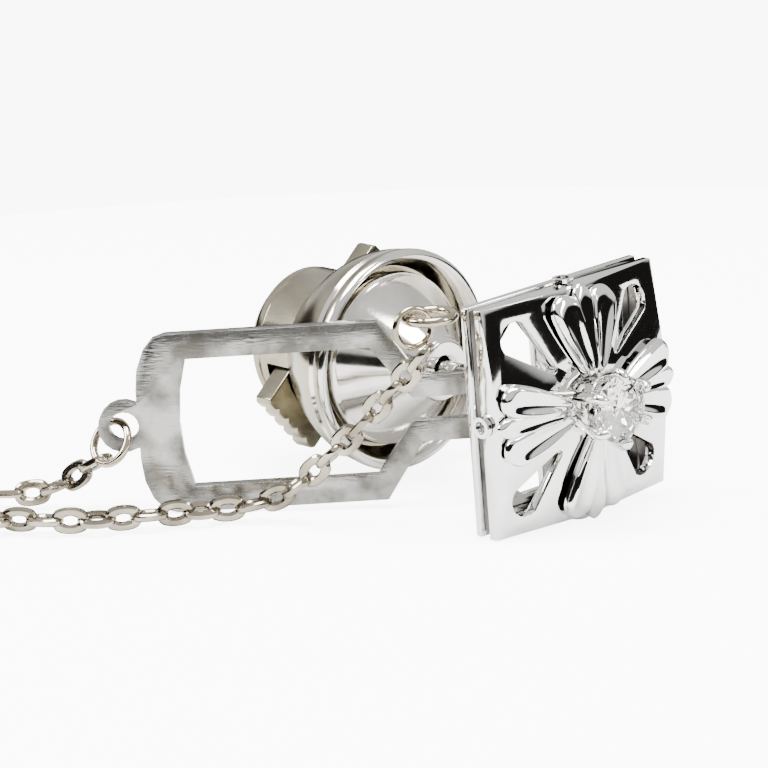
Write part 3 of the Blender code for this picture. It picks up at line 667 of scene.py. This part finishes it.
def stage():
    bpy.ops.object.select_all(action="DESELECT")
    bpy.ops.mesh.primitive_circle_add(vertices=96, radius=FLOOR_R, fill_type="NGON",
                                      location=(0, 0, -0.02 * MM))
    floor = bpy.context.object
    floor.name = "floor"
    material, nodes, links = new_material("pale floor")
    shader = nodes["Principled BSDF"]
    shader.inputs["Base Color"].default_value = (0.82, 0.82, 0.82, 1)
    shader.inputs["Roughness"].default_value = 0.9
    shader.inputs["Emission Color"].default_value = (1, 1, 1, 1)
    path = nodes.new("ShaderNodeLightPath")
    glow = nodes.new("ShaderNodeMath")
    glow.operation = "MULTIPLY"
    glow.inputs[1].default_value = FLOOR_GLOW
    links.new(path.outputs["Is Camera Ray"], glow.inputs[0])
    links.new(glow.outputs["Value"], shader.inputs["Emission Strength"])
    floor.data.materials.append(material)


def light(name, place, aim, wide, high, power):
    data = bpy.data.lights.new(name, "AREA")
    data.shape = "RECTANGLE"
    data.size = wide
    data.size_y = high
    data.energy = power
    lamp = bpy.data.objects.new(name, data)
    bpy.context.scene.collection.objects.link(lamp)
    lamp.location = place
    lamp.rotation_euler = (Vector(aim) - Vector(place)).to_track_quat("-Z", "Y").to_euler()


def lights():
    """A white sky with a dark band round the horizon, and three soft boxes."""
    world = bpy.data.worlds.new("studio")
    bpy.context.scene.world = world
    world.use_nodes = True
    nodes, links = world.node_tree.nodes, world.node_tree.links
    back = nodes["Background"]
    place = nodes.new("ShaderNodeTexCoord")
    wave = nodes.new("ShaderNodeTexNoise")
    wave.inputs["Scale"].default_value = 1.7
    wave.inputs["Detail"].default_value = 0
    links.new(place.outputs["Generated"], wave.inputs["Vector"])
    axes = nodes.new("ShaderNodeSeparateXYZ")
    links.new(place.outputs["Generated"], axes.inputs["Vector"])
    lift = nodes.new("ShaderNodeMath")
    lift.operation = "MULTIPLY_ADD"
    lift.inputs[1].default_value = 1.1
    links.new(wave.outputs["Fac"], lift.inputs[0])
    links.new(axes.outputs["Z"], lift.inputs[2])
    ramp = nodes.new("ShaderNodeValToRGB")
    ramp.color_ramp.elements[0].position = 0.69
    ramp.color_ramp.elements[0].color = (0.012, 0.011, 0.010, 1)
    ramp.color_ramp.elements[1].position = 0.84
    ramp.color_ramp.elements[1].color = (1, 1, 1, 1)
    tilt = nodes.new("ShaderNodeMath")
    tilt.operation = "MULTIPLY_ADD"
    tilt.inputs[1].default_value = 0.2
    links.new(axes.outputs["Y"], tilt.inputs[0])
    links.new(lift.outputs["Value"], tilt.inputs[2])
    links.new(tilt.outputs["Value"], ramp.inputs["Fac"])
    path = nodes.new("ShaderNodeLightPath")
    pick = nodes.new("ShaderNodeMix")
    pick.data_type = "RGBA"
    pick.inputs[7].default_value = (SKY_GLOW, SKY_GLOW, SKY_GLOW, 1)
    links.new(path.outputs["Is Camera Ray"], pick.inputs[0])
    links.new(ramp.outputs["Color"], pick.inputs[6])
    links.new(pick.outputs[2], back.inputs["Color"])
    back.inputs["Strength"].default_value = 1.0
    light("top", (0.02, -0.03, 0.25), (0, 0, 0), 0.16, 0.16, 2.2)
    light("key", (-0.15, -0.20, 0.18), (0, 0, 0.005), 0.12, 0.12, 1.2)
    light("side", (0.25, 0.12, 0.16), (0.005, 0, 0.005), 0.06, 0.14, 0.6)


place_camera()
chain()
wire_ring("upper_ring", "upper_ring", WIRE, "ring_wire")
wire_ring("plate_ring", "plate_ring", WIRE, "ring_wire")
wire_ring("chain_bail", "head", WIRE, "ring_wire")
brilliant()
crown()
petals()
softened("front_plate", 0.07 * MM, WHITE_GOLD, "head", slot="polished_white_gold")
softened("back_plate", 0.06 * MM, WHITE_GOLD, "head", slot="polished_white_gold")
softened("button_plate", 0.09 * MM, PLATE, "button_plate", slot="plate_metal")
softened("release_ring", 0.06 * MM, CLUTCH, "release", slot="clutch_metal")
clutch_shell()
nose()
round_post()
# Metals for the CAD parts that are kept; the side wall's near-black is painted shade, the others are the
# parts' own metals.
FINISHES_AND_PAINTED_SHADE = {
    "side_wall": PAINTED_SHADE_RECESS, "post_foot": WHITE_GOLD, "back_cap": CLUTCH,
    "chuck_sleeve": STEEL, "lock_spring": STEEL, "ball_cage": BRASS,
}
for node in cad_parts:
    piece = bpy.data.objects.get(node)
    if piece is None:
        continue
    surface_material = FINISHES_AND_PAINTED_SHADE.get(node)
    if node.startswith("side_tube"):
        surface_material = WHITE_GOLD
    if node.startswith("lock_ball"):
        surface_material = STEEL
    if surface_material is not None:
        piece.data.materials.clear()
        piece.data.materials.append(surface_material)
stage()
lights()
